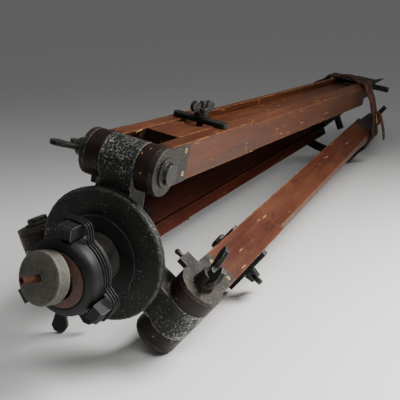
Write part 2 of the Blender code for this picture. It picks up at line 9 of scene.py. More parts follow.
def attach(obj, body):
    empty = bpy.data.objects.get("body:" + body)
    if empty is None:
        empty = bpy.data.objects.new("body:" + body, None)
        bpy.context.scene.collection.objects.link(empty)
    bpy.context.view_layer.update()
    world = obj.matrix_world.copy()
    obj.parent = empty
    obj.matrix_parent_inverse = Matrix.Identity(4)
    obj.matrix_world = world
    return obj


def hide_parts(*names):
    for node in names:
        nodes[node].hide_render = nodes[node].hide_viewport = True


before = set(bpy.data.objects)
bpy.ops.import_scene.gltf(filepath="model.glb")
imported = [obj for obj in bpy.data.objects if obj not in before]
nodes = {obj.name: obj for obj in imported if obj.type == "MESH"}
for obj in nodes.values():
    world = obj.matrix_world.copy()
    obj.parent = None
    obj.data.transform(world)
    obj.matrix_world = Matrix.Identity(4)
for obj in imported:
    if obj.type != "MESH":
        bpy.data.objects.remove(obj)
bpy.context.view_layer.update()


# --- How the tripod lies --------------------------------------------------------------------------
# Folded and strapped, it is laid on its side, rolled a little so that two hinge ends and the strap
# touch the ground. Places are given in the head's own frame, +Z out of the disc and +Y to leg 1.

lying = (
    Matrix.Translation((-0.00056, -0.55320, 0.11871))
    @ Matrix.Rotation(math.radians(-1.66), 4, "X")
    @ Matrix.Rotation(math.radians(12.86), 4, "Y")
    @ Matrix.Rotation(math.radians(90), 4, "X")
)


hinge_reach = 0.0978
hinge_level = -0.0360


def leg_place(number):
    """A leg's frame: X along the hinge to the bolt head, Y down the leg, Z away from the bundle."""
    angle = math.radians(90 - 120 * number)
    outward = Vector((math.cos(angle), math.sin(angle), 0))
    across = Vector((math.sin(angle), -math.cos(angle), 0))
    axes = Matrix((across, Vector((0, 0, -1)), outward)).transposed().to_4x4()
    hinge = outward * hinge_reach + Vector((0, 0, hinge_level))
    lean = Matrix.Rotation(math.radians(-2.7), 4, "X")
    swing = Matrix.Rotation(math.radians(-0.57), 4, "Z")
    return lying @ Matrix.Translation(hinge) @ axes @ lean @ swing


# --- The ground and the light ---------------------------------------------------------------------
# A plain pale floor with no edge in sight. A soft light hangs to the right, a little behind the head,
# and is shaded at the sides, so the floor is white in front and grey behind. Two weak lights fill in.


def new_mesh(name, work):
    """A mesh made from working geometry, which is then let go."""
    mesh = bpy.data.meshes.new(name)
    work.to_mesh(mesh)
    work.free()
    return mesh


def new_object(name, data):
    """An object placed in the scene."""
    made = bpy.data.objects.new(name, data)
    bpy.context.scene.collection.objects.link(made)
    return made


floor_work = bmesh.new()
bmesh.ops.create_grid(floor_work, x_segments=1, y_segments=1, size=40)
floor_mesh = new_mesh("floor", floor_work)
floor = new_object("floor", floor_mesh)
floor.location.z = -0.0004
floor_paint = bpy.data.materials.new("floor_paint")
floor_paint.use_nodes = True
floor_shader = floor_paint.node_tree.nodes["Principled BSDF"]
floor_shader.inputs["Base Color"].default_value = (0.88, 0.88, 0.86, 1)
floor_shader.inputs["Roughness"].default_value = 0.55
floor_shader.inputs["Specular IOR Level"].default_value = 0.25
floor_mesh.materials.append(floor_paint)


def soft_light(name, place, aim, size, power):
    """A soft lamp aimed at a point, shaded at its sides."""
    lamp = bpy.data.lights.new(name, "AREA")
    lamp.shape = "RECTANGLE"
    lamp.size, lamp.size_y = size
    lamp.energy = power
    lamp.spread = math.radians(94)
    made = new_object(name, lamp)
    made.location = place
    made.rotation_euler = (Vector(aim) - Vector(place)).to_track_quat("-Z", "Y").to_euler()


soft_light("soft_light_right", (1.05, 0.10, 1.00), (0.55, -0.72, 0.0), (0.8, 0.8), 19.5)
soft_light("soft_light_front", (0.5, -1.1, 1.3), (0.0, -0.4, 0.1), (0.8, 0.8), 2.2)
soft_light("soft_light_left", (-0.9, -0.5, 1.1), (-0.9, -0.4, 0.0), (1.2, 1.2), 1.0)

surround = bpy.data.worlds.new("surround")
bpy.context.scene.world = surround
surround.use_nodes = True
sky = surround.node_tree.nodes["Background"]
sky.inputs["Color"].default_value = (0.80, 0.81, 0.82, 1)
sky.inputs["Strength"].default_value = 0.165


# --- The camera -----------------------------------------------------------------------------------
# It stands low in front of the head and to its right, and looks down the length of the folded legs.

camera_data = bpy.data.cameras.new("camera")
camera_data.sensor_width = 36
camera_data.lens = 66.712
camera_data.shift_x = 0.0130
camera_data.shift_y = -0.0097
camera = new_object("camera", camera_data)
camera.location = (0.43421, -1.15856, 0.39747)
camera.rotation_euler = [math.radians(angle) for angle in (73.3105, 3.7762, 26.4626)]
bpy.context.scene.camera = camera


# --- The head casting -----------------------------------------------------------------------------
# Disc, hub and three arms with hinge barrels, cast in iron in one piece and finished in black crackle
# paint. The paint is rubbed through to grey metal in specks, most of all on the rim and the barrels.
# The pale specks also stand in as painted highlights for the glints of the glossy paint.

def put(tree, kind, **values):
    """A shader node; each value names one of its settings or one of its inputs."""
    made = tree.nodes.new(kind)
    for key, value in values.items():
        if hasattr(made, key):
            setattr(made, key, value)
        else:
            made.inputs[key.replace("_", " ")].default_value = value
    return made


def feed(tree, source, target):
    """Sets an input from another node's output or from a plain value."""
    if isinstance(source, bpy.types.NodeSocket):
        tree.links.new(source, target)
    elif isinstance(source, tuple):
        target.default_value = (*source, 1.0)[: len(target.default_value)]
    else:
        target.default_value = source


def over(tree, mask, under, top):
    """One colour laid over another where the mask is 1."""
    mix = put(tree, "ShaderNodeMix", data_type="RGBA")
    feed(tree, mask, mix.inputs[0])
    feed(tree, under, mix.inputs[6])
    feed(tree, top, mix.inputs[7])
    return mix.outputs[2]


def sums(tree, operation, *values):
    """A maths node working on one to three values."""
    made = put(tree, "ShaderNodeMath", operation=operation)
    for value, target in zip(values, made.inputs):
        feed(tree, value, target)
    return made.outputs[0]


def ramp(tree, value, low, high, start=0.0, end=1.0):
    """Maps low..high to start..end and holds it there."""
    made = put(tree, "ShaderNodeMapRange")
    feed(tree, value, made.inputs["Value"])
    for name, amount in (("From Min", low), ("From Max", high), ("To Min", start), ("To Max", end)):
        feed(tree, amount, made.inputs[name])
    return made.outputs["Result"]


def speckle(tree, place, scale, detail=4.0, roughness=0.6):
    """Noise read at the given place."""
    made = put(tree, "ShaderNodeTexNoise", Scale=scale, Detail=detail, Roughness=roughness)
    feed(tree, place, made.inputs["Vector"])
    return made.outputs["Fac"]


def placed(tree, matrix):
    """The piece's own coordinates, read in the given frame."""
    own = put(tree, "ShaderNodeTexCoord").outputs["Object"]
    frame_map = put(tree, "ShaderNodeMapping", vector_type="TEXTURE")
    frame_map.inputs["Location"].default_value = matrix.to_translation()
    frame_map.inputs["Rotation"].default_value = matrix.to_euler("XYZ")
    tree.links.new(own, frame_map.inputs["Vector"])
    return frame_map.outputs["Vector"]


def new_group(name, takes, gives):
    """A node group with named inputs and outputs; returns it with its two end nodes."""
    group = bpy.data.node_groups.new(name, "ShaderNodeTree")
    for label, kind, value in takes:
        socket = group.interface.new_socket(label, in_out="INPUT", socket_type="NodeSocket" + kind)
        if value is not None:
            socket.default_value = value
    for label, kind in gives:
        group.interface.new_socket(label, in_out="OUTPUT", socket_type="NodeSocket" + kind)
    return group, group.nodes.new("NodeGroupInput"), group.nodes.new("NodeGroupOutput")


# Edge wear: where the surface turns sharply, broken up so that the wear comes and goes.
worn_edges, takes, gives = new_group(
    "worn_edges",
    [
        ("Place", "Vector", None),
        ("Reach", "Float", 0.002),
        ("Breakup", "Float", 120.0),
        ("Amount", "Float", 1.0),
    ],
    [("Mask", "Float")],
)
bevel = put(worn_edges, "ShaderNodeBevel", samples=6)
worn_edges.links.new(takes.outputs["Reach"], bevel.inputs["Radius"])
facing = put(worn_edges, "ShaderNodeNewGeometry").outputs["Normal"]
turn = put(worn_edges, "ShaderNodeVectorMath", operation="DOT_PRODUCT")
worn_edges.links.new(bevel.outputs["Normal"], turn.inputs[0])
worn_edges.links.new(facing, turn.inputs[1])
edge = ramp(worn_edges, sums(worn_edges, "SUBTRACT", 1.0, turn.outputs["Value"]), 0.01, 0.16)
coming = put(worn_edges, "ShaderNodeTexNoise", Detail=5.0, Roughness=0.65)
worn_edges.links.new(takes.outputs["Place"], coming.inputs["Vector"])
worn_edges.links.new(takes.outputs["Breakup"], coming.inputs["Scale"])
broken = ramp(worn_edges, coming.outputs["Fac"], 0.38, 0.58)
worn = sums(worn_edges, "MULTIPLY", edge, broken)
mask = sums(worn_edges, "MULTIPLY", worn, takes.outputs["Amount"])
worn_edges.links.new(mask, gives.inputs["Mask"])

# Scratches: short straight nicks in three directions, thick in some places and missing in others.
scratches, takes, gives = new_group(
    "scratches",
    [
        ("Place", "Vector", None),
        ("Scale", "Float", 30.0),
        ("Width", "Float", 0.07),
        ("Amount", "Float", 1.0),
    ],
    [("Mask", "Float")],
)
ragged = put(scratches, "ShaderNodeTexNoise", Scale=260.0, Detail=2.0)
scratches.links.new(takes.outputs["Place"], ragged.inputs["Vector"])
shaken = put(scratches, "ShaderNodeVectorMath", operation="MULTIPLY_ADD")
scratches.links.new(ragged.outputs["Color"], shaken.inputs[0])
shaken.inputs[1].default_value = (0.0016, 0.0016, 0.0016)
scratches.links.new(takes.outputs["Place"], shaken.inputs[2])
nicks = 0.0
for slant, lean in ((0.35, 0.1), (1.25, 0.5), (2.50, -0.4)):
    turned_place = put(scratches, "ShaderNodeMapping", vector_type="POINT")
    turned_place.inputs["Rotation"].default_value = (lean, 0.2, slant)
    turned_place.inputs["Scale"].default_value = (1, 0.10, 1)
    scratches.links.new(shaken.outputs["Vector"], turned_place.inputs["Vector"])
    cells = put(scratches, "ShaderNodeTexVoronoi")
    scratches.links.new(turned_place.outputs["Vector"], cells.inputs["Vector"])
    scratches.links.new(takes.outputs["Scale"], cells.inputs["Scale"])
    chance = put(scratches, "ShaderNodeSeparateColor")
    scratches.links.new(cells.outputs["Color"], chance.inputs[0])
    chosen = ramp(scratches, chance.outputs[0], 0.45, 0.95)
    width = sums(scratches, "MULTIPLY", takes.outputs["Width"], chosen)
    thin = sums(scratches, "LESS_THAN", cells.outputs["Distance"], width)
    nicks = sums(scratches, "MAXIMUM", thin, nicks)
gaps = put(scratches, "ShaderNodeTexNoise", Scale=24.0, Detail=3.0)
scratches.links.new(takes.outputs["Place"], gaps.inputs["Vector"])
some = ramp(scratches, gaps.outputs["Fac"], 0.48, 0.56)
scattered = sums(scratches, "MULTIPLY", nicks, some)
mask = sums(scratches, "MULTIPLY", scattered, takes.outputs["Amount"])
scratches.links.new(mask, gives.inputs["Mask"])


def use(tree, group, **values):
    """Places a node group; each value names one of its inputs."""
    made = tree.nodes.new("ShaderNodeGroup")
    made.node_tree = group
    for key, value in values.items():
        feed(tree, value, made.inputs[key.replace("_", " ")])
    return made.outputs["Mask"]


def new_finish(name):
    """A new material, with its node tree and its Principled shader."""
    made = bpy.data.materials.new(name)
    made.use_nodes = True
    return made, made.node_tree, made.node_tree.nodes["Principled BSDF"]


def roughen(tree, shader, height, depth, strength=1.0, soft_edge=0.0):
    """Bump from a height, on top of slightly rounded edges where an edge radius is given."""
    bump = put(tree, "ShaderNodeBump", Strength=strength, Distance=depth)
    feed(tree, height, bump.inputs["Height"])
    if soft_edge:
        rounded = put(tree, "ShaderNodeBevel", samples=4, Radius=soft_edge)
        tree.links.new(rounded.outputs["Normal"], bump.inputs["Normal"])
    tree.links.new(bump.outputs["Normal"], shader.inputs["Normal"])


crackle_paint, tree, shader = new_finish("crackle_paint")
spot = placed(tree, lying)
fine = speckle(tree, spot, 430, 6, 0.72)
broad = speckle(tree, spot, 34, 5, 0.65)
edges = use(tree, worn_edges, Place=spot, Reach=0.0045, Breakup=170.0, Amount=0.9)
away = put(tree, "ShaderNodeSeparateXYZ")
tree.links.new(spot, away.inputs[0])
across_square = sums(tree, "POWER", away.outputs[0], 2.0)
upward_square = sums(tree, "POWER", away.outputs[1], 2.0)
out_square = sums(tree, "ADD", across_square, upward_square)
on_barrels = ramp(tree, out_square, 0.0072, 0.0120, 0.0, 0.070)
threshold = ramp(tree, broad, 0.36, 0.66, 0.660, 0.545)
threshold = sums(tree, "SUBTRACT", threshold, on_barrels)
# The pale specks are partly paint rubbed through to grey metal and partly painted highlights.
glint_and_wear_specks = ramp(tree, sums(tree, "SUBTRACT", fine, threshold), 0.0, 0.030)
glint_and_wear_specks = sums(tree, "MULTIPLY", glint_and_wear_specks, 0.85)
bare = sums(tree, "MAXIMUM", glint_and_wear_specks, sums(tree, "MULTIPLY", edges, 0.8))
dust = ramp(tree, speckle(tree, spot, 48, 5, 0.65), 0.50, 0.72, 0.0, 0.55)
painted = over(tree, dust, (0.008, 0.008, 0.007), (0.026, 0.021, 0.016))
bare_metal_and_glint_tone = over(tree, speckle(tree, spot, 240), (0.16, 0.16, 0.14), (0.52, 0.51, 0.46))
feed(tree, over(tree, bare, painted, bare_metal_and_glint_tone), shader.inputs["Base Color"])
feed(tree, ramp(tree, bare, 0, 1, 0.0, 0.75), shader.inputs["Metallic"])
feed(tree, ramp(tree, bare, 0, 1, 0.52, 0.36), shader.inputs["Roughness"])
shader.inputs["Specular IOR Level"].default_value = 0.26
grains = put(tree, "ShaderNodeTexVoronoi", Scale=520.0)
tree.links.new(spot, grains.inputs["Vector"])
rough_height = sums(tree, "MULTIPLY_ADD", fine, 0.8, grains.outputs["Distance"])
rough_height = sums(tree, "SUBTRACT", rough_height, bare)
roughen(tree, shader, rough_height, 0.0005, 0.75, 0.0012)


def soften(node, width, steps=2, angle=32):
    """Rounds a CAD piece's edges a little and shades its curved faces smooth."""
    piece = nodes[node]
    flat_normals = piece.data.attributes.get("custom_normal")
    if flat_normals:
        piece.data.attributes.remove(flat_normals)
    closing = piece.modifiers.new("joined_points", "WELD")
    closing.merge_threshold = 0.00002
    rounding = piece.modifiers.new("rounded_edges", "BEVEL")
    rounding.width = width
    rounding.segments = steps
    rounding.limit_method = "ANGLE"
    rounding.angle_limit = math.radians(angle)
    rounding.use_clamp_overlap = True
    piece.data.shade_smooth()
    levelling = piece.modifiers.new("flat_faces_stay_flat", "WEIGHTED_NORMAL")
    levelling.mode = "FACE_AREA"
    levelling.weight = 100


def finish_piece(node, finish, width=0.0006, angle=32, steps=2):
    """Gives a CAD piece its material and its rounded edges."""
    for slot in nodes[node].material_slots:
        slot.material = finish
    soften(node, width, steps, angle)


finish_piece("head_casting", crackle_paint, 0.0010)


# --- The seat plate and the stem ------------------------------------------------------------------
# A turned black steel plate with a thin bright edge lies on the disc. The stem stands through it, its
# neck dulled by brown dust, and a hexagon nut behind the disc draws it down.

satin_black, tree, shader = new_finish("satin_black")
spot = placed(tree, lying)
edges = use(tree, worn_edges, Place=spot, Reach=0.0014, Breakup=90.0, Amount=0.85)
marks = use(tree, scratches, Place=spot, Scale=150.0, Width=0.12, Amount=0.40)
bare = sums(tree, "MAXIMUM", edges, marks)
cloud = ramp(tree, speckle(tree, spot, 30, 5, 0.65), 0.38, 0.72)
ground_colour = over(tree, cloud, (0.005, 0.005, 0.0055), (0.013, 0.012, 0.011))
feed(tree, over(tree, bare, ground_colour, (0.22, 0.21, 0.19)), shader.inputs["Base Color"])
feed(tree, ramp(tree, cloud, 0, 1, 0.44, 0.62), shader.inputs["Roughness"])
feed(tree, ramp(tree, bare, 0, 1, 0.05, 0.8), shader.inputs["Metallic"])
shader.inputs["Specular IOR Level"].default_value = 0.26
roughen(tree, shader, speckle(tree, spot, 480, 3), 0.00010, 0.5, 0.0008)
finish_piece("seat_plate", satin_black, 0.0003)

gun_black, tree, shader = new_finish("gun_black")
spot = placed(tree, lying)
edges = use(tree, worn_edges, Place=spot, Reach=0.0022, Breakup=140.0, Amount=0.9)
marks = use(tree, scratches, Place=spot, Scale=170.0, Width=0.12, Amount=0.45)
pits = ramp(tree, speckle(tree, spot, 420, 4, 0.7), 0.60, 0.66, 0.0, 0.6)
bare = sums(tree, "MAXIMUM", sums(tree, "MAXIMUM", edges, marks), pits)
cloud = ramp(tree, speckle(tree, spot, 38, 5, 0.6), 0.40, 0.66)
ground_colour = over(tree, cloud, (0.011, 0.011, 0.011), (0.027, 0.025, 0.020))
feed(tree, over(tree, bare, ground_colour, (0.22, 0.205, 0.17)), shader.inputs["Base Color"])
feed(tree, ramp(tree, bare, 0, 1, 0.30, 0.90), shader.inputs["Metallic"])
shader.inputs["Specular IOR Level"].default_value = 0.30
feed(tree, ramp(tree, cloud, 0, 1, 0.34, 0.50), shader.inputs["Roughness"])
roughen(tree, shader, speckle(tree, spot, 300, 4), 0.00018, 0.6, 0.0010)
for name in ("stem_nut", "ball"):
    finish_piece(name, gun_black, 0.0004)

dusty_black, tree, shader = new_finish("dusty_black")
spot = placed(tree, lying)
dust = ramp(tree, speckle(tree, spot, 70, 6, 0.7), 0.40, 0.66)
flecks = ramp(tree, speckle(tree, spot, 420, 4, 0.7), 0.62, 0.68, 0.0, 0.7)
tone = over(tree, dust, (0.007, 0.007, 0.006), (0.028, 0.020, 0.012))
feed(tree, over(tree, flecks, tone, (0.16, 0.13, 0.09)), shader.inputs["Base Color"])
feed(tree, ramp(tree, dust, 0, 1, 0.48, 0.80), shader.inputs["Roughness"])
shader.inputs["Metallic"].default_value = 0.2
roughen(tree, shader, dust, 0.0004, 0.6, 0.0008)
finish_piece("socket_stem", dusty_black, 0.0004)


# --- The clamp ring and the socket collar ---------------------------------------------------------
# The collar is a rounded black ring that closes over the ball. Behind it the clamp ring, with three
# ears and three raised ribs round it, screws along the stem and is tightened by hand.

finish_piece("clamp_ring", satin_black, 0.0026, 28, 4)
finish_piece("socket_collar", satin_black, 0.0004)


def settled_mesh(source):
    """A mesh of the object as it is seen, with its modifiers or its bevel worked in."""
    bpy.context.view_layer.update()
    seen = source.evaluated_get(bpy.context.evaluated_depsgraph_get())
    return bpy.data.meshes.new_from_object(seen)


def round_bar(name, place, points, radius, closed, finish, sides=10):
    """A bar of round section along a line of points in the given frame."""
    line = bpy.data.curves.new(name, "CURVE")
    line.dimensions = "3D"
    line.bevel_depth = radius
    line.bevel_resolution = sides // 4
    line.use_fill_caps = True
    spline = line.splines.new("POLY")
    spline.points.add(len(points) - 1)
    for spot_on_line, point in zip(spline.points, points):
        spot_on_line.co = (*(place @ Vector(point)), 1)
    spline.use_cyclic_u = closed
    temporary = new_object(name, line)
    mesh = settled_mesh(temporary)
    bpy.data.objects.remove(temporary)
    mesh.materials.clear()
    mesh.materials.append(finish)
    mesh.shade_smooth()
    return new_object(name, mesh)


def eased(share):
    """Turns 0 to 1 into a gentle start and a gentle stop."""
    return share * share * (3 - 2 * share)


ring_radius, ear_reach, ear_headings = 0.0418, 0.0585, (88, 333, 220)
ear_half_width, ear_flank = 27, 17
rib_radius, rib_rise = 0.0012, 0.0015
for number, level in enumerate((0.0462, 0.0502, 0.0542)):
    line = []
    for step in range(180):
        heading = step * 2.0
        off_ear = min(abs((heading - ear + 180) % 360 - 180) for ear in ear_headings)
        rise = min(1.0, max(0.0, (ear_half_width - off_ear) / ear_flank))
        reach = ring_radius + (ear_reach - ring_radius) * eased(rise)
        angle = math.radians(heading)
        line.append((reach * math.cos(angle), reach * math.sin(angle), level + rib_rise * rise))
    rib = round_bar(f"clamp_ring_rib_{number + 1}", lying, line, rib_radius, True, satin_black)
    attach(rib, "clamp_ring")


# --- The fibre sleeve -----------------------------------------------------------------------------
# A red-brown pressed fibre ring lines the mouth of the socket. It is dull, with darker and lighter
# flecks of its fibres.

pressed_fibre, tree, shader = new_finish("pressed_fibre")
spot = placed(tree, lying)
flecks = speckle(tree, spot, 360, 5, 0.75)
cloud = ramp(tree, speckle(tree, spot, 45, 4), 0.36, 0.66)
tone = over(tree, cloud, (0.026, 0.010, 0.006), (0.062, 0.022, 0.013))
pale_flecks = ramp(tree, flecks, 0.56, 0.70, 0, 0.6)
feed(tree, over(tree, pale_flecks, tone, (0.19, 0.085, 0.05)), shader.inputs["Base Color"])
shader.inputs["Roughness"].default_value = 0.68
roughen(tree, shader, flecks, 0.0003, 0.7, 0.0008)
finish_piece("fibre_sleeve", pressed_fibre, 0.0004)


# --- The top plate and its pin --------------------------------------------------------------------
# A thick grey disc, die cast and painted, now mottled and pitted with a chipped edge. The pin through
# its middle is plain steel gone brown with rust, drilled at the end.

mottled_grey, tree, shader = new_finish("mottled_grey")
spot = placed(tree, lying)
patches = ramp(tree, speckle(tree, spot, 52, 6, 0.7), 0.34, 0.68)
grit = ramp(tree, speckle(tree, spot, 420, 4, 0.7), 0.40, 0.70)
edges = use(tree, worn_edges, Place=spot, Reach=0.0030, Breakup=110.0, Amount=1.0)
tone = over(tree, patches, (0.030, 0.026, 0.019), (0.090, 0.084, 0.066))
tone = over(tree, sums(tree, "MULTIPLY", grit, 0.45), tone, (0.14, 0.133, 0.11))
holes = put(tree, "ShaderNodeTexVoronoi", Scale=95.0)
tree.links.new(spot, holes.inputs["Vector"])
pits = ramp(tree, holes.outputs["Distance"], 0.16, 0.08)
pits = sums(tree, "MULTIPLY", pits, ramp(tree, patches, 0.35, 0.2))
tone = over(tree, pits, tone, (0.012, 0.010, 0.008))
chips = use(tree, worn_edges, Place=spot, Reach=0.0075, Breakup=42.0, Amount=1.0)
tone = over(tree, ramp(tree, chips, 0.25, 0.40), tone, (0.125, 0.120, 0.100))
feed(tree, over(tree, edges, tone, (0.20, 0.19, 0.16)), shader.inputs["Base Color"])
feed(tree, ramp(tree, patches, 0, 1, 0.74, 0.58), shader.inputs["Roughness"])
shader.inputs["Metallic"].default_value = 0.25
grainy = sums(tree, "ADD", patches, sums(tree, "MULTIPLY", grit, 0.5))
roughen(tree, shader, sums(tree, "SUBTRACT", grainy, pits), 0.0006, 0.6, 0.0010)
finish_piece("end_cap", mottled_grey, 0.0006)

rusted_steel, tree, shader = new_finish("rusted_steel")
spot = placed(tree, lying)
scale_marks = speckle(tree, spot, 260, 6, 0.75)
tone = over(tree, ramp(tree, scale_marks, 0.38, 0.62), (0.022, 0.0085, 0.0045), (0.080, 0.029, 0.013))
feed(tree, tone, shader.inputs["Base Color"])
shader.inputs["Roughness"].default_value = 0.76
shader.inputs["Specular IOR Level"].default_value = 0.15
roughen(tree, shader, scale_marks, 0.0005, 0.8)
finish_piece("stud", rusted_steel, 0.0002)


# --- The hinge plates, bolts and wing nuts --------------------------------------------------------
# Each leg swings on a long bolt through its barrel, between two forged plates with flat tangs screwed
# to the stiles. The wing nut on the far end is slackened to spread the leg and tightened to hold it.

forged_plate, tree, shader = new_finish("forged_plate")
spot = placed(tree, lying)
edges = use(tree, worn_edges, Place=spot, Reach=0.0020, Breakup=150.0, Amount=0.9)
brown = ramp(tree, speckle(tree, spot, 55, 5, 0.65), 0.40, 0.62)
tone = over(tree, brown, (0.012, 0.012, 0.011), (0.034, 0.025, 0.017))
pits = ramp(tree, speckle(tree, spot, 380, 4, 0.7), 0.58, 0.66, 0.0, 0.7)
bare = sums(tree, "MAXIMUM", edges, pits)
feed(tree, over(tree, bare, tone, (0.20, 0.185, 0.155)), shader.inputs["Base Color"])
feed(tree, ramp(tree, brown, 0, 1, 0.40, 0.58), shader.inputs["Roughness"])
feed(tree, ramp(tree, bare, 0, 1, 0.25, 0.85), shader.inputs["Metallic"])
shader.inputs["Specular IOR Level"].default_value = 0.28
roughen(tree, shader, speckle(tree, spot, 260, 4), 0.00020, 0.6, 0.0010)
leg_tags = ("_1", "_2", "_3")
for tag in leg_tags:
    finish_piece("hinge_plate_bolt_side" + tag, forged_plate, 0.0006)
    finish_piece("hinge_plate_nut_side" + tag, forged_plate, 0.0006)
    finish_piece("hinge_bolt" + tag, gun_black, 0.0005)
    finish_piece("wing_nut" + tag, gun_black, 0.0014)
    finish_piece("cross_bolt" + tag, gun_black, 0.0003)


# --- The wooden rails -----------------------------------------------------------------------------
# Two hardwood rails make each upper leg, and a third slides between them. They are varnished orange
# to red brown, bruised and scratched along their length, and rubbed pale on the corners.

# Wood: long grain, pores and slow changes of tone, along the Y of the place it is given.
wood_grain, takes, gives = new_group(
    "wood_grain",
    [("Place", "Vector", None), ("Shift", "Float", 0.0)],
    [("Grain", "Float"), ("Pores", "Float"), ("Cloud", "Float"), ("Mask", "Float")],
)
apart = put(wood_grain, "ShaderNodeVectorMath", operation="ADD")
wood_grain.links.new(takes.outputs["Place"], apart.inputs[0])
shifted = put(wood_grain, "ShaderNodeCombineXYZ")
for axis in (0, 1, 2):
    wood_grain.links.new(takes.outputs["Shift"], shifted.inputs[axis])
wood_grain.links.new(shifted.outputs[0], apart.inputs[1])


def along_leg(stretch):
    """The group's place, drawn out along the grain."""
    mapping = put(wood_grain, "ShaderNodeMapping", vector_type="POINT")
    mapping.inputs["Scale"].default_value = stretch
    wood_grain.links.new(apart.outputs[0], mapping.inputs["Vector"])
    return mapping.outputs["Vector"]


long_streaks = speckle(wood_grain, along_leg((1, 0.035, 1)), 210, 5, 0.6)
fine_streaks = speckle(wood_grain, along_leg((1, 0.02, 1)), 760, 4, 0.6)
long_share = sums(wood_grain, "MULTIPLY", long_streaks, 0.65)
fine_share = sums(wood_grain, "MULTIPLY", fine_streaks, 0.35)
grain = sums(wood_grain, "ADD", long_share, fine_share)
wood_grain.links.new(ramp(wood_grain, grain, 0.36, 0.64), gives.inputs["Grain"])
pore_cells = put(wood_grain, "ShaderNodeTexVoronoi", Scale=950.0)
wood_grain.links.new(along_leg((1, 0.06, 1)), pore_cells.inputs["Vector"])
open_pores = ramp(wood_grain, pore_cells.outputs["Distance"], 0.22, 0.10)
wood_grain.links.new(open_pores, gives.inputs["Pores"])
slow = speckle(wood_grain, along_leg((1, 0.22, 1)), 26, 4, 0.6)
wood_grain.links.new(ramp(wood_grain, slow, 0.34, 0.66), gives.inputs["Cloud"])
bruise_noise = speckle(wood_grain, along_leg((1, 0.5, 1)), 70, 5, 0.7)
wood_grain.links.new(ramp(wood_grain, bruise_noise, 0.60, 0.68), gives.inputs["Mask"])


def varnished(name, matrix, shift, dark, light, worn, dull):
    """Varnished hardwood whose grain follows the given frame."""
    made, tree, shader = new_finish(name)
    spot = placed(tree, matrix)
    grain_node = tree.nodes.new("ShaderNodeGroup")
    grain_node.node_tree = wood_grain
    tree.links.new(spot, grain_node.inputs["Place"])
    grain_node.inputs["Shift"].default_value = shift
    labels = ("Grain", "Pores", "Cloud", "Mask")
    streak, pores, cloud, bruises = (grain_node.outputs[label] for label in labels)
    warm = tuple(0.86 * plain + 0.14 * pale for plain, pale in zip(light, worn))
    deep = tuple(0.35 * plain for plain in dark)
    tone = over(tree, streak, dark, light)
    for patch, colour in ((cloud, warm), (pores, deep), (bruises, deep)):
        tone = over(tree, sums(tree, "MULTIPLY", patch, 0.55), tone, colour)
    edges = use(tree, worn_edges, Place=spot, Reach=0.0026, Breakup=60.0, Amount=0.95)
    tone = over(tree, edges, tone, worn)
    apart_xyz = put(tree, "ShaderNodeSeparateXYZ")
    tree.links.new(spot, apart_xyz.inputs[0])
    across, down, out = apart_xyz.outputs
    ragged_distance_down = sums(tree, "ADD", down, ramp(tree, cloud, 0, 1, -0.006, 0.006))
    # Towards the hinge end the wood is darkened to nearly black.
    hinge_end_darkening = ramp(tree, ragged_distance_down, 0.027, 0.014, 0.0, 0.95)
    tone = over(tree, hinge_end_darkening, tone, (0.007, 0.0036, 0.0026))
    # Between the rails, near the hinge, the wood is painted nearly black: painted shade in the gap.
    painted_shade_between_rails = ramp(tree, sums(tree, "ABSOLUTE", across), 0.0230, 0.0222)
    painted_shade_between_rails = sums(tree, "MULTIPLY", painted_shade_between_rails, ramp(tree, out, 0.0214, 0.0200))
    painted_shade_between_rails = sums(tree, "MULTIPLY", painted_shade_between_rails, ramp(tree, down, 0.20, 0.14, 0.0, 0.86))
    tone = over(tree, painted_shade_between_rails, tone, (0.012, 0.007, 0.005))
    # Damp and mud have darkened the last stretch before the foot.
    foot_grime = ramp(tree, ragged_distance_down, 0.790, 0.875, 0.0, 0.62)
    tone = over(tree, foot_grime, tone, deep)
    marks = use(tree, scratches, Place=spot, Scale=210.0, Width=0.19, Amount=0.80)
    tone = over(tree, marks, tone, worn)
    feed(tree, tone, shader.inputs["Base Color"])
    uneven = ramp(tree, cloud, 0, 1, dull, dull + 0.16)
    uneven = sums(tree, "ADD", uneven, sums(tree, "MULTIPLY", edges, 0.2))
    feed(tree, uneven, shader.inputs["Roughness"])
    shader.inputs["Coat Weight"].default_value = 0.06
    shader.inputs["Coat Roughness"].default_value = 0.20
    shader.inputs["Specular IOR Level"].default_value = 0.20
    shape = sums(tree, "SUBTRACT", sums(tree, "MULTIPLY", streak, 0.5), pores)
    shape = sums(tree, "SUBTRACT", shape, sums(tree, "MULTIPLY", marks, 1.5))
    roughen(tree, shader, shape, 0.00025, 0.6, 0.0014)
    return made


# Each leg's varnish has its own tones. These are partly the wood's own variation and partly painted
# light: leg 1, uppermost, has brighter, greyer tones that stand in for the sheen on it.
leg_tones_with_sheen = (
    ((0.032, 0.0074, 0.0026), (0.086, 0.0225, 0.0078), (0.40, 0.17, 0.06)),
    ((0.028, 0.0044, 0.0010), (0.080, 0.0140, 0.0030), (0.44, 0.20, 0.07)),
    ((0.038, 0.0062, 0.0026), (0.092, 0.0160, 0.0065), (0.28, 0.10, 0.04)),
)
for number, (dark, light, worn) in enumerate(leg_tones_with_sheen):
    tag = f"_{number + 1}"
    place = leg_place(number)
    for piece, shift, rounding in (
        ("stile_bolt_side", 0.0, 0.0012),
        ("stile_nut_side", 3.1, 0.0012),
        ("spacer_block", 6.7, 0.0006),
        ("lower_leg", 9.4, 0.0012),
    ):
        shift += 11.3 * number
        wood = varnished(f"varnished_{piece}{tag}", place, shift, dark, light, worn, 0.36)
        finish_piece(piece + tag, wood, rounding, 25)


# --- The clamps -----------------------------------------------------------------------------------
# A flat iron bar lies across both rails and a thin plate under them. The bolt between passes the
# sliding leg, and its winged knob draws the two together to lock the leg's length.

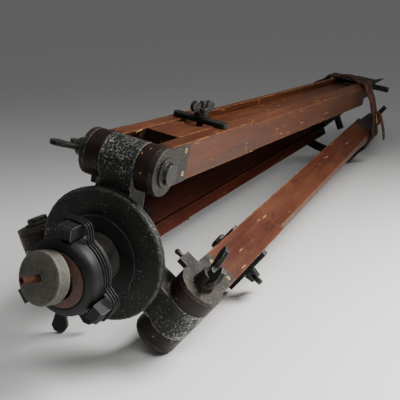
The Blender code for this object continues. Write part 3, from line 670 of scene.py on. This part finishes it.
for tag in leg_tags:
    finish_piece("clamp_bolt" + tag, gun_black, 0.0003)
    finish_piece("clamp_bar" + tag, satin_black, 0.0008)
    finish_piece("clamp_plate" + tag, satin_black, 0.0005)
    finish_piece("clamp_knob" + tag, gun_black, 0.0012)


# --- The foot irons -------------------------------------------------------------------------------
# Forged iron shoes cap the sliding legs, each with a tread for the boot and a pointed spike. They are
# black with scale, and bare where they have been driven into the ground.

black_forged_iron, tree, shader = new_finish("black_forged_iron")
spot = placed(tree, lying)
edges = use(tree, worn_edges, Place=spot, Reach=0.0030, Breakup=110.0, Amount=0.7)
scale_marks = speckle(tree, spot, 210, 6, 0.7)
tone = over(tree, ramp(tree, scale_marks, 0.42, 0.62), (0.012, 0.011, 0.010), (0.040, 0.032, 0.026))
feed(tree, over(tree, edges, tone, (0.17, 0.15, 0.13)), shader.inputs["Base Color"])
shader.inputs["Roughness"].default_value = 0.58
shader.inputs["Metallic"].default_value = 0.55
roughen(tree, shader, scale_marks, 0.0006, 0.7, 0.0012)
for tag in leg_tags:
    finish_piece("foot_iron" + tag, black_forged_iron, 0.0010)


# --- The strap ------------------------------------------------------------------------------------
# A dry brown leather strap goes twice round the feet end of the bundle and is done up with a plain
# brass buckle, a frame and a prong. The end runs on past the buckle through a leather keeper.

strap_leather, tree, shader = new_finish("strap_leather")
spot = put(tree, "ShaderNodeTexCoord").outputs["Object"]
creases = speckle(tree, spot, 150, 6, 0.7)
pebble = put(tree, "ShaderNodeTexVoronoi", Scale=900.0)
tree.links.new(spot, pebble.inputs["Vector"])
edges = use(tree, worn_edges, Place=spot, Reach=0.0016, Breakup=130.0, Amount=0.9)
rub = ramp(tree, speckle(tree, spot, 42, 4), 0.40, 0.66)
tone = over(tree, rub, (0.038, 0.014, 0.007), (0.125, 0.046, 0.021))
tone = over(tree, ramp(tree, creases, 0.44, 0.36, 0, 0.8), tone, (0.006, 0.003, 0.002))
feed(tree, over(tree, edges, tone, (0.26, 0.115, 0.055)), shader.inputs["Base Color"])
shader.inputs["Specular IOR Level"].default_value = 0.3
feed(tree, ramp(tree, rub, 0, 1, 0.50, 0.66), shader.inputs["Roughness"])
hide = sums(tree, "ADD", sums(tree, "MULTIPLY", creases, 1.6), pebble.outputs["Distance"])
roughen(tree, shader, hide, 0.0006, 0.7, 0.0008)

old_brass, tree, shader = new_finish("old_brass")
spot = put(tree, "ShaderNodeTexCoord").outputs["Object"]
edges = use(tree, worn_edges, Place=spot, Reach=0.0015, Breakup=150.0, Amount=1.0)
tarnish = ramp(tree, speckle(tree, spot, 120, 5), 0.40, 0.62)
tone = over(tree, tarnish, (0.19, 0.125, 0.045), (0.42, 0.30, 0.125))
feed(tree, over(tree, edges, tone, (0.66, 0.52, 0.26)), shader.inputs["Base Color"])
feed(tree, ramp(tree, tarnish, 0, 1, 0.48, 0.28), shader.inputs["Roughness"])
shader.inputs["Metallic"].default_value = 1.0
roughen(tree, shader, speckle(tree, spot, 260, 3), 0.0002, 0.5)

strap_station = 0.856
strap_level = hinge_level - strap_station
upright = lying.inverted()


def bend_centre(number, side):
    """The middle of the strap's bend round one outer corner of a leg, in the head's frame."""
    return upright @ leg_place(number) @ Vector((side * 0.0335, strap_station, 0.0170))


corners = [bend_centre(number, side).xy for number in range(3) for side in (1, -1)]
middle = sum(corners, Vector((0, 0))) / len(corners)
corners.sort(key=lambda c: math.atan2(c.y - middle.y, c.x - middle.x))


def loop_points(clear, bend_steps=6, spacing=0.004):
    """The strap's line round the six outer corners, with its outward directions."""
    points = []
    for index, corner in enumerate(corners):
        before = (corner - corners[index - 1]).normalized()
        after = (corners[(index + 1) % len(corners)] - corner).normalized()
        first = math.atan2(-before.x, before.y)
        last = math.atan2(-after.x, after.y)
        while last < first:
            last += 2 * math.pi
        for step in range(bend_steps + 1):
            angle = first + (last - first) * step / bend_steps
            out = Vector((math.cos(angle), math.sin(angle)))
            points.append((corner + out * clear, out))
    spaced = []
    for index, (point, out) in enumerate(points):
        nxt, nxt_out = points[(index + 1) % len(points)]
        pieces = max(1, int((nxt - point).length / spacing))
        for step in range(pieces):
            t = step / pieces
            spaced.append((point.lerp(nxt, t), (out * (1 - t) + nxt_out * t).normalized()))
    return spaced


def rounded_rectangle(half_x, half_y, corner, steps):
    """The outline of a rectangle with round corners, each turned in the given number of steps."""
    outline = []
    for side_x, side_y, start in ((1, 1, 0), (-1, 1, 90), (-1, -1, 180), (1, -1, 270)):
        for step in range(steps + 1):
            angle = math.radians(start + step * 90 / steps)
            outline.append((
                side_x * (half_x - corner) + corner * math.cos(angle),
                side_y * (half_y - corner) + corner * math.sin(angle),
            ))
    return outline


def join_rings(work, here, there):
    """Faces between two rings of points."""
    for side in range(len(here)):
        other = (side + 1) % len(here)
        work.faces.new((here[side], here[other], there[other], there[side]))


def leather_piece(name, work):
    """A smooth piece of leather made from working geometry."""
    bmesh.ops.recalc_face_normals(work, faces=work.faces)
    mesh = new_mesh(name, work)
    mesh.materials.append(strap_leather)
    mesh.shade_smooth()
    return new_object(name, mesh)


def leather_band(name, line, low, high, thick, seed, bow, gape):
    """A closed strap swept along a line. It bows where nothing is under it and gapes on one side."""
    rng = random.Random(seed)
    phase = rng.uniform(0, 10)
    ripple, wander, lumps = 0.00045, 0.0011, 0.00025
    held_near, freed_over, clear_height = 0.010, 0.022, 0.03
    gape_heading = math.radians(40)
    section = rounded_rectangle((high - low) / 2, thick / 2, thick * 0.46, 3)
    work = bmesh.new()
    rings = []
    for index, (point, out) in enumerate(line):
        t = index * 0.35 + phase
        wave = ripple * noise.noise(Vector((t * 0.45, seed, 0)))
        nearest = min((Vector((point.x, point.y)) - corner).length for corner in corners)
        above_ground = (lying @ Vector((point.x, point.y, strap_level))).z
        off_corner = min(1.0, max(0.0, (nearest - held_near) / freed_over))
        slack = off_corner * min(1.0, max(0.0, above_ground / clear_height - 0.5))
        wave += bow * eased(slack)
        drift = wander * noise.noise(Vector((t * 0.20, seed + 4.0, 0)))
        drift += gape * (0.5 + 0.5 * math.cos(math.atan2(out.y, out.x) - gape_heading))
        ring = []
        for across, through in section:
            lump = lumps * noise.noise(Vector((t, across * 300, through * 300 + seed)))
            reach = through + wave + lump
            level = strap_level + (low + high) / 2 + across + drift
            where = lying @ Vector((point.x + out.x * reach, point.y + out.y * reach, level))
            ring.append(work.verts.new(where))
        rings.append(ring)
    for here, there in zip(rings, rings[1:] + rings[:1]):
        join_rings(work, here, there)
    return leather_piece(name, work)


strap_upper = leather_band(
    "strap_upper_turn", loop_points(0.0088),
    low=0.0012, high=0.0192, thick=0.0054, seed=3, bow=0.0062, gape=0.0070,
)
strap_lower = leather_band(
    "strap_lower_turn", loop_points(0.0084),
    low=-0.0206, high=-0.0012, thick=0.0050, seed=8, bow=0.0030, gape=0.0,
)
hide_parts("strap")
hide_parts("strap")
for band in (strap_upper, strap_lower):
    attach(band, "strap")

# The buckle sits on the straight run between legs 1 and 2, clear of the strap.
run_start = bend_centre(0, 1)
run_end = bend_centre(1, -1)
run = Vector((run_end.x - run_start.x, run_end.y - run_start.y, 0))
run_along = run.normalized()
run_out = Vector((-run_along.y, run_along.x, 0))
buckle_share, buckle_lift = 0.72, 0.0172
buckle_centre = Vector((run_start.x, run_start.y, strap_level))
buckle_centre += run * buckle_share + run_out * buckle_lift
buckle_place = lying @ (
    Matrix.Translation(buckle_centre)
    @ Matrix((run_along, run_out, Vector((0, 0, 1)))).transposed().to_4x4()
)


def round_frame(half_x, half_z, corner, level):
    """A rounded rectangle lying flat on the strap, at a level above the buckle's own place."""
    return [(x, level, z) for x, z in rounded_rectangle(half_x, half_z, corner, 4)]


buckle_line = round_frame(0.0105, 0.0135, 0.0035, 0.0016)
buckle = round_bar("buckle_frame", buckle_place, buckle_line, 0.0015, True, old_brass, 16)
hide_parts("strap_buckle")
prong_line = [
    (-0.0105, 0.0016, 0), (-0.0080, 0.0034, 0), (0.0, 0.0050, 0),
    (0.0075, 0.0040, 0), (0.0112, 0.0030, 0),
]
prong = round_bar("buckle_prong", buckle_place, prong_line, 0.0010, False, old_brass)
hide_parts("strap_buckle")
for piece in (buckle, prong):
    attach(piece, "strap")


def leather_tongue(name, spine, half_width, thick, seed):
    """A flat tongue along a line in the buckle's frame, with thinned edges and a rounded tip."""
    outline = [(1, 0.4), (0.9, 1), (-0.9, 1), (-1, 0.4), (-1, -0.4), (-0.9, -1), (0.9, -1), (1, -0.4)]
    ripple, tip_share = 0.0006, 0.16
    work = bmesh.new()
    rings = []
    total = len(spine) - 1
    for index, (x, y) in enumerate(spine):
        ahead = spine[min(index + 1, total)]
        behind = spine[max(index - 1, 0)]
        direction = Vector((ahead[0] - behind[0], ahead[1] - behind[1])).normalized()
        normal = Vector((-direction.y, direction.x))
        left = (total - index) / total
        narrow = math.sqrt(max(0.04, 1 - (1 - min(1.0, left / tip_share)) ** 2))
        wave = ripple * noise.noise(Vector((index * 0.5, seed, 2.0)))
        ring = []
        for share_across, share_through in outline:
            across = share_across * half_width * narrow
            through = share_through * thick / 2 + wave
            where = Vector((x + normal.x * through, y + normal.y * through, across))
            ring.append(work.verts.new(buckle_place @ where))
        rings.append(ring)
    for here, there in zip(rings, rings[1:]):
        join_rings(work, here, there)
    work.faces.new(rings[0])
    work.faces.new(list(reversed(rings[-1])))
    made = leather_piece(name, work)
    smooth = made.modifiers.new("smooth_leather", "SUBSURF")
    smooth.levels = smooth.render_levels = 1
    return made


tail_start, tail_length, tail_steps = -0.014, 0.060, 24
tail_lift, tail_arch = 0.0052, 0.0028
tail_spine = []
for step in range(tail_steps + 1):
    t = step / tail_steps
    height = tail_lift + tail_arch * math.sin(t * 3.0) + 0.0012 * t
    tail_spine.append((tail_start + tail_length * t, height))
tail = leather_tongue("strap_end", tail_spine, 0.0082, 0.0026, 5)
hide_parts("strap_tail")
keeper_line = round_frame(0.0042, 0.0112, 0.0020, 0.0042)
keeper = round_bar("strap_keeper", buckle_place, keeper_line, 0.0016, True, strap_leather, 12)
for piece in (tail, keeper):
    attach(piece, "strap")


# --- Screws ---------------------------------------------------------------------------------------
# Two slotted brass screws hold each tang to its rail. Their heads are filed flush, and the slots lie
# whichever way they happened to stop. A small bent brass hook sits in the opening of leg 1.

def screw_mesh(name, radius, proud, turn_angle):
    """A slotted head: a low dome with the slot cut across it."""
    work = bmesh.new()
    bmesh.ops.create_cone(
        work, cap_ends=True, segments=24, radius1=radius, radius2=radius * 0.86, depth=proud * 2
    )
    head = new_object(name, new_mesh(name, work))
    slot_work = bmesh.new()
    bmesh.ops.create_cube(slot_work, size=1.0)
    bmesh.ops.scale(slot_work, vec=(radius * 3, radius * 0.24, proud * 1.3), verts=slot_work.verts)
    bmesh.ops.translate(slot_work, vec=(0, 0, proud), verts=slot_work.verts)
    slot_turn = Matrix.Rotation(turn_angle, 3, "Z")
    bmesh.ops.rotate(slot_work, cent=(0, 0, 0), matrix=slot_turn, verts=slot_work.verts)
    cutter = new_object(name + "_slot", new_mesh(name + "_slot", slot_work))
    cut = head.modifiers.new("slot", "BOOLEAN")
    cut.object = cutter
    done = settled_mesh(head)
    bpy.data.objects.remove(head)
    bpy.data.objects.remove(cutter)
    return done


hook_line = [
    (-0.0222, 0.056, 0.0150), (-0.0195, 0.054, 0.0190), (-0.0170, 0.050, 0.0225),
    (-0.0155, 0.045, 0.0238), (-0.0165, 0.041, 0.0225), (-0.0180, 0.040, 0.0205),
]
hook = round_bar("plumb_hook", leg_place(0), hook_line, 0.0013, False, old_brass)
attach(hook, "leg_1")

rng = random.Random(21)
barrel_half, rail_play, rail_thickness = 0.0213, 0.0005, 0.0172
tang_gap, tang_thickness = 0.0003, 0.0022
tang_face = barrel_half + rail_play + rail_thickness + tang_gap + tang_thickness
screw_station, screw_radius, screw_proud = 0.0500, 0.0033, 0.0004
for number in range(3):
    for side_word, side in (("bolt", 1), ("nut", -1)):
        for letter, height in (("a", 0.0145), ("b", -0.0115)):
            name = f"tang_screw_{side_word}_{letter}_{number + 1}"
            mesh = screw_mesh(name, screw_radius, screw_proud, rng.uniform(0, 3.1))
            mesh.materials.append(old_brass)
            screw = new_object(name, mesh)
            seat = Matrix.Translation((side * tang_face, screw_station, height))
            turn_out = Matrix.Rotation(math.radians(90 * side), 4, "Y")
            screw.matrix_world = leg_place(number) @ seat @ turn_out
            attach(screw, f"leg_{number + 1}")
